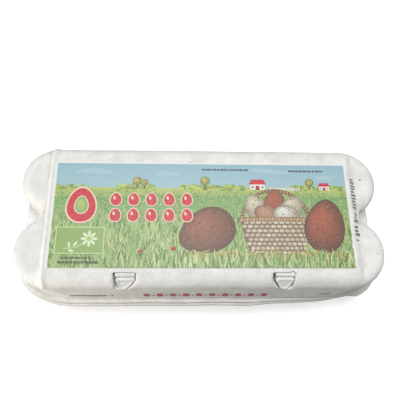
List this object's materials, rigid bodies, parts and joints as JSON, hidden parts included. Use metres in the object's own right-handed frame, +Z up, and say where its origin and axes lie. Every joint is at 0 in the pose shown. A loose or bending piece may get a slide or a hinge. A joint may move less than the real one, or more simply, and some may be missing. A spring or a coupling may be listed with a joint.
{
  "type": "egg carton",
  "caption": "Shut egg carton of moulded pulp: tray of egg cups, domed lid with rounded lobes at both ends, front latches and a paper label on its flat top.",
  "frame": {"origin": "on the table under the middle of the carton", "axes": "+X along the carton, +Y to the hinged back, -Y to the front with its latches, +Z up"},
  "size_m": [0.256, 0.1144, 0.0691],
  "materials": {
    "lid_pulp": "matt off-white recycled pulp with fine fibre mottling",
    "tray_pulp": "matt off-white recycled pulp, a little rougher than the lid",
    "label_paper": "smooth printed paper, a meadow under a blue sky, satin"
  },
  "bodies": {
    "root": {"tray": "tray_pulp", "lid": "lid_pulp", "latch_tongue_left": "tray_pulp", "latch_tongue_right": "tray_pulp", "label": "label_paper"}
  },
  "joints": []
}
